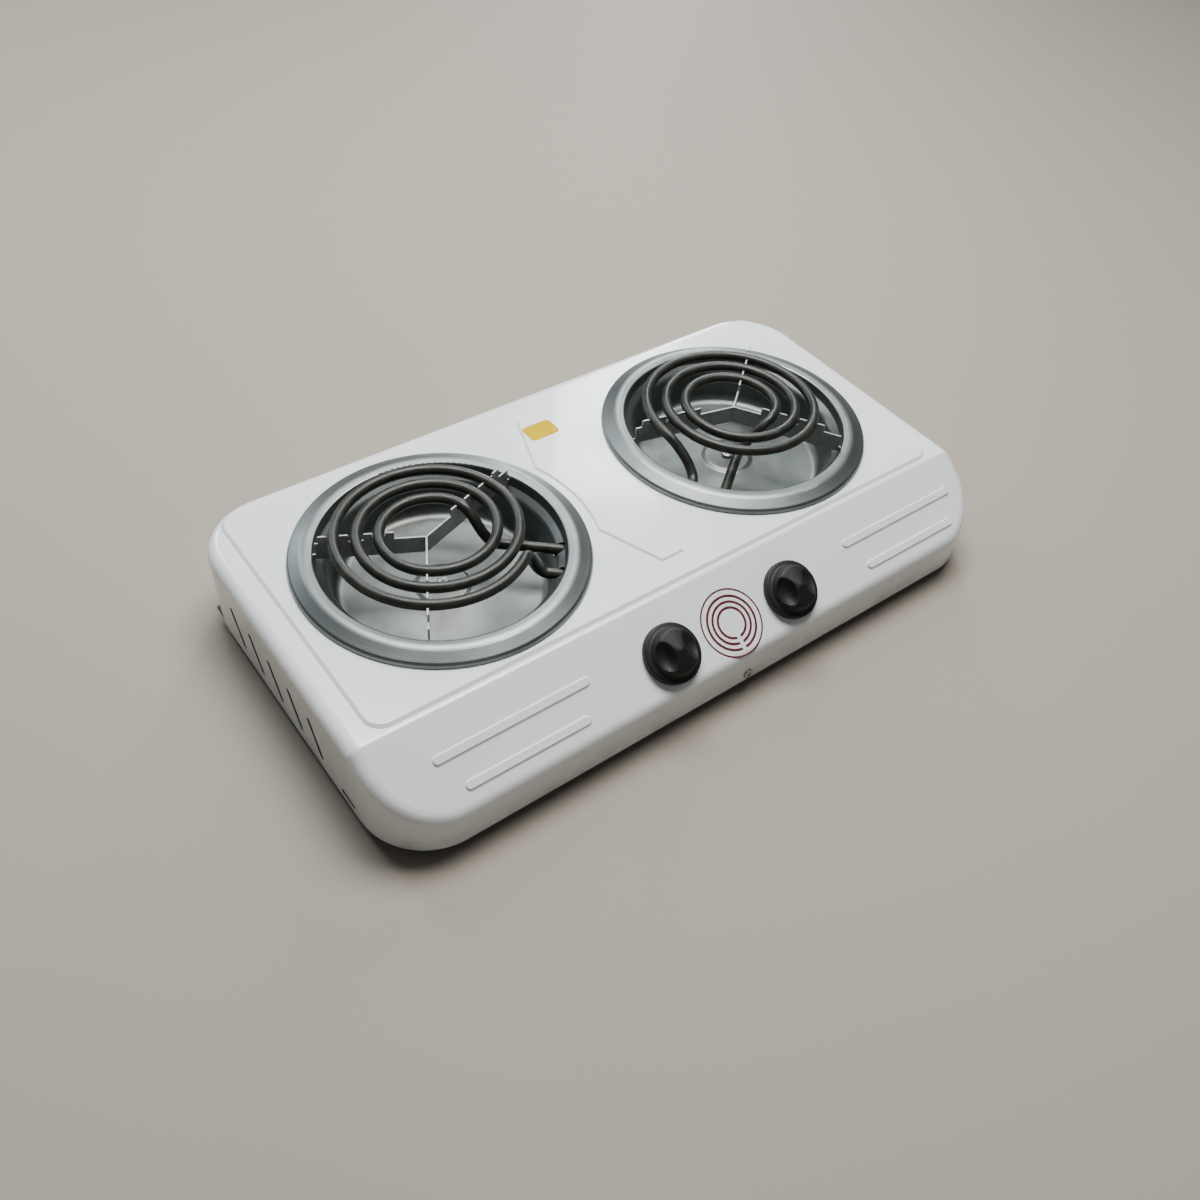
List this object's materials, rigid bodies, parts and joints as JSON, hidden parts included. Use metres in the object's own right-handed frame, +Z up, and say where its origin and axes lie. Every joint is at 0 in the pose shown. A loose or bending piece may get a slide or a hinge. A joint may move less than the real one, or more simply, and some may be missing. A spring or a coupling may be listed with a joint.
{
  "type": "hot plate burner",
  "caption": "Table-top electric hot plate: enamelled sheet-steel housing with a sloping control panel, spun drip bowls, spiral sheathed coils and rotary knobs.",
  "frame": {"origin": "centre of the footprint, on the surface that the feet stand on", "axes": "+X to the user's right, +Y to the back of the hot plate, +Z up"},
  "size_m": [0.46, 0.2542, 0.0844],
  "materials": {
    "white_enamel": "glossy stove enamel",
    "base_steel": "black satin paint on steel",
    "galvanised_steel": "spun galvanised steel, satin",
    "coil_sheath": "dark oxidised alloy sheath, satin",
    "strip_steel": "zinc-plated strip, satin",
    "zinc_steel": "zinc plate",
    "black_plastic": "moulded, satin",
    "ceramic": "unglazed ceramic",
    "brass": "plain",
    "rubber": "moulded",
    "live_insulation": "heat-proof sleeve",
    "load_insulation": "heat-proof sleeve",
    "neutral_insulation": "heat-proof sleeve",
    "earth_insulation": "heat-proof sleeve",
    "red_print": "printed ink",
    "yellow_label": "printed film"
  },
  "bodies": {
    "housing": {"badge_print": "red_print", "base_plate": "base_steel", "cable_gland": "black_plastic", "earth_screw": "zinc_steel", "earth_wire": "earth_insulation", "foot_front_left": "rubber", "foot_front_right": "rubber", "foot_nuts": "zinc_steel", "foot_rear_left": "rubber", "foot_rear_right": "rubber", "foot_screws": "zinc_steel", "front_screw": "zinc_steel", "left_coil_insulators": "ceramic", "left_coil_pins": "zinc_steel", "left_drip_pan": "galvanised_steel", "left_heating_coil": "coil_sheath", "left_pan_screw": "zinc_steel", "left_pan_stud": "zinc_steel", "left_support_arm": "strip_steel", "left_support_strip": "strip_steel", "left_terminal_plate": "galvanised_steel", "left_thermostat_body": "ceramic", "left_thermostat_bracket": "galvanised_steel", "left_thermostat_terminals": "brass", "live_wires": "live_insulation", "load_wires": "load_insulation", "neutral_wires": "neutral_insulation", "plain_label": "yellow_label", "rear_screws": "zinc_steel", "right_coil_insulators": "ceramic", "right_coil_pins": "zinc_steel", "right_drip_pan": "galvanised_steel", "right_heating_coil": "coil_sheath", "right_pan_screw": "zinc_steel", "right_pan_stud": "zinc_steel", "right_support_arm": "strip_steel", "right_support_strip": "strip_steel", "right_terminal_plate": "galvanised_steel", "right_thermostat_body": "ceramic", "right_thermostat_bracket": "galvanised_steel", "right_thermostat_terminals": "brass", "terminal_block": "ceramic", "terminal_screws": "zinc_steel", "thermostat_screws": "zinc_steel", "top_shell": "white_enamel"},
    "left_control": {"left_knob": "black_plastic", "left_knob_clip": "zinc_steel", "left_thermostat_shaft": "zinc_steel"},
    "right_control": {"right_knob": "black_plastic", "right_knob_clip": "zinc_steel", "right_thermostat_shaft": "zinc_steel"}
  },
  "joints": [
    {"name": "left_knob_turn", "type": "hinge", "parent": "housing", "child": "left_control", "pos_m": [-0.03835, -0.10657, 0.04402], "axis": [0, 0.5519, -0.8339], "range_deg": [0, 270]},
    {"name": "right_knob_turn", "type": "hinge", "parent": "housing", "child": "right_control", "pos_m": [0.05615, -0.10657, 0.04402], "axis": [0, 0.5519, -0.8339], "range_deg": [0, 270]}
  ]
}
